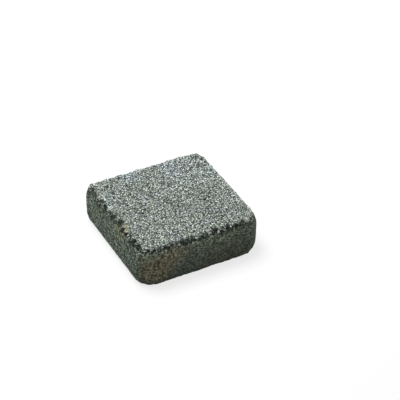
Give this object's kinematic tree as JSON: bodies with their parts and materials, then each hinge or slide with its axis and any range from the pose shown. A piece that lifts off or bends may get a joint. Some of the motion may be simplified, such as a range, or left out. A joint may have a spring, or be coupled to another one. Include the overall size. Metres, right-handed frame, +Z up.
{
  "type": "paving stone",
  "caption": "Square tumbled concrete paving stone with rounded upright corners and battered edges, laid on its bed face.",
  "frame": {"origin": "middle of the bed face, on the level that the stone rests on", "axes": "+Z up, from the bed face to the wearing face; X and Y along the two pairs of sides"},
  "size_m": [0.16, 0.16, 0.05],
  "materials": {
    "concrete": "rough sandy grey concrete, darker and smoother on the sides"
  },
  "bodies": {
    "root": {"paving_stone": "concrete"}
  },
  "joints": []
}
